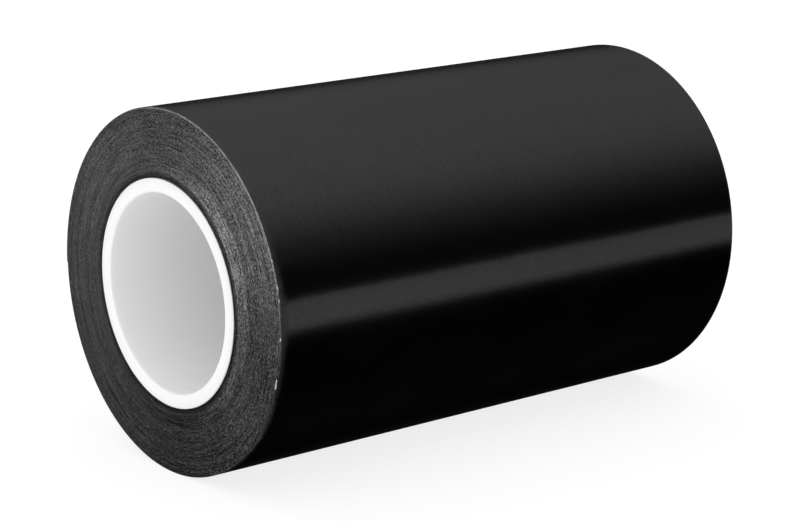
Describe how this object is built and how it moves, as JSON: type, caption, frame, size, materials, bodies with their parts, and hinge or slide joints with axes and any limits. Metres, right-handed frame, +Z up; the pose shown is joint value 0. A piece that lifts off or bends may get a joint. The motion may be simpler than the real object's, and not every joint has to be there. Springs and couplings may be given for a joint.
{
  "type": "roll of sign vinyl",
  "caption": "Short roll of black glossy self-adhesive film wound on a white plastic core, with a free end that lifts and film that peels from its liner.",
  "frame": {"origin": "middle of the core's bore, half-way along the roll", "axes": "+Y along the roll's axis, +Z up with the roll lying on its side, the web's free end on the -X side"},
  "size_m": [0.1396, 0.2306, 0.1393],
  "materials": {
    "core_plastic": "satin",
    "start_tape": "matte",
    "film_face": "gloss",
    "liner": "gloss"
  },
  "bodies": {
    "roll": {"core": "core_plastic", "core_start_tape": "start_tape", "vinyl_film": "film_face", "release_liner": "liner"},
    "tail": {"tail_film_root": "film_face", "tail_liner": "liner"},
    "film_tip": {"tail_film_tip": "film_face"}
  },
  "joints": [
    {"name": "tail_lift", "type": "hinge", "parent": "roll", "child": "tail", "pos_m": [-0.04946, 0, 0.0494], "axis": [0, 1, 0], "range_deg": [0, 70], "stiffness_Nm_per_rad": 0.0076},
    {"name": "film_peel", "type": "hinge", "parent": "tail", "child": "film_tip", "pos_m": [-0.06041, 0, 0.03518], "axis": [0, 1, 0], "range_deg": [0, 80], "stiffness_Nm_per_rad": 0.001}
  ]
}
